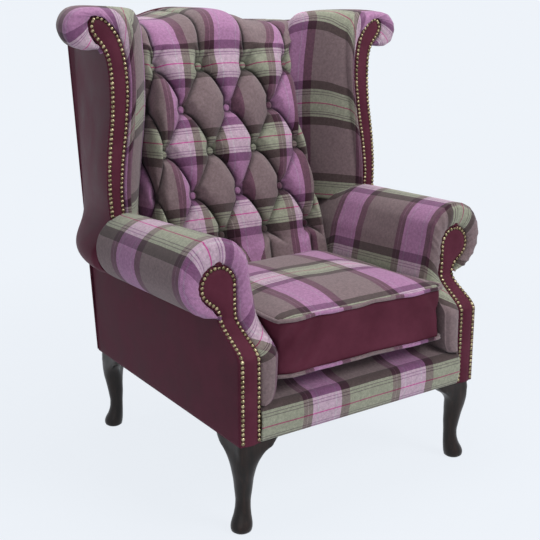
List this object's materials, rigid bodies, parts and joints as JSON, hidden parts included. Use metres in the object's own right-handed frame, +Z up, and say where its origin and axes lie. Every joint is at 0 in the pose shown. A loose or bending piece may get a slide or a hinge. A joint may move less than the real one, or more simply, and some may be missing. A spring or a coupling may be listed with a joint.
{
  "type": "armchair",
  "caption": "High-backed tartan and leather wing armchair with a deep-buttoned back, set-back scroll arms, nailed facings, a loose seat cushion and cabriole legs",
  "frame": {"origin": "middle of the bounding box on the floor", "axes": "+X to the right as seen from the front, +Y to the back, +Z up"},
  "size_m": [0.976, 0.863, 1.127],
  "materials": {
    "tartan": "heathered wool weave",
    "leather": "satin plum hide",
    "legs": "satin dark stain",
    "frame_wood": "raw sawn",
    "webbing": "woven strap",
    "lining": "matte cloth"
  },
  "bodies": {
    "chair": {"back_crest_roll": "tartan", "back_low_rail": "frame_wood", "back_top_rail": "frame_wood", "back_webbing": "webbing", "bottom_cover": "lining", "button_row_1": "tartan", "button_row_2": "tartan", "button_row_3": "tartan", "button_row_4": "tartan", "button_row_5": "tartan", "front_border": "tartan", "front_seat_rail": "frame_wood", "inside_back": "tartan", "left_arm_facing": "leather", "left_arm_pad": "tartan", "left_arm_post": "frame_wood", "left_arm_rail": "frame_wood", "left_back_post": "frame_wood", "left_front_corner_block": "frame_wood", "left_front_leg": "legs", "left_outside_arm": "leather", "left_outside_wing": "leather", "left_rear_corner_block": "frame_wood", "left_rear_leg": "legs", "left_side_rail": "frame_wood", "left_wing_facing": "leather", "left_wing_pad": "tartan", "left_wing_post": "frame_wood", "left_wing_rail": "frame_wood", "outside_back": "leather", "rear_seat_rail": "frame_wood", "right_arm_facing": "leather", "right_arm_pad": "tartan", "right_arm_post": "frame_wood", "right_arm_rail": "frame_wood", "right_back_post": "frame_wood", "right_front_corner_block": "frame_wood", "right_front_leg": "legs", "right_outside_arm": "leather", "right_outside_wing": "leather", "right_rear_corner_block": "frame_wood", "right_rear_leg": "legs", "right_side_rail": "frame_wood", "right_wing_facing": "leather", "right_wing_pad": "tartan", "right_wing_post": "frame_wood", "right_wing_rail": "frame_wood", "seat_deck": "lining", "seat_webbing_crosswise": "webbing", "seat_webbing_lengthwise": "webbing"},
    "cushion": {"seat_cushion": "tartan"}
  },
  "joints": [
    {"name": "cushion_lift", "type": "slide", "parent": "chair", "child": "cushion", "axis": [0, -0.7071, 0.7071], "range_m": [0, 0.3]}
  ]
}
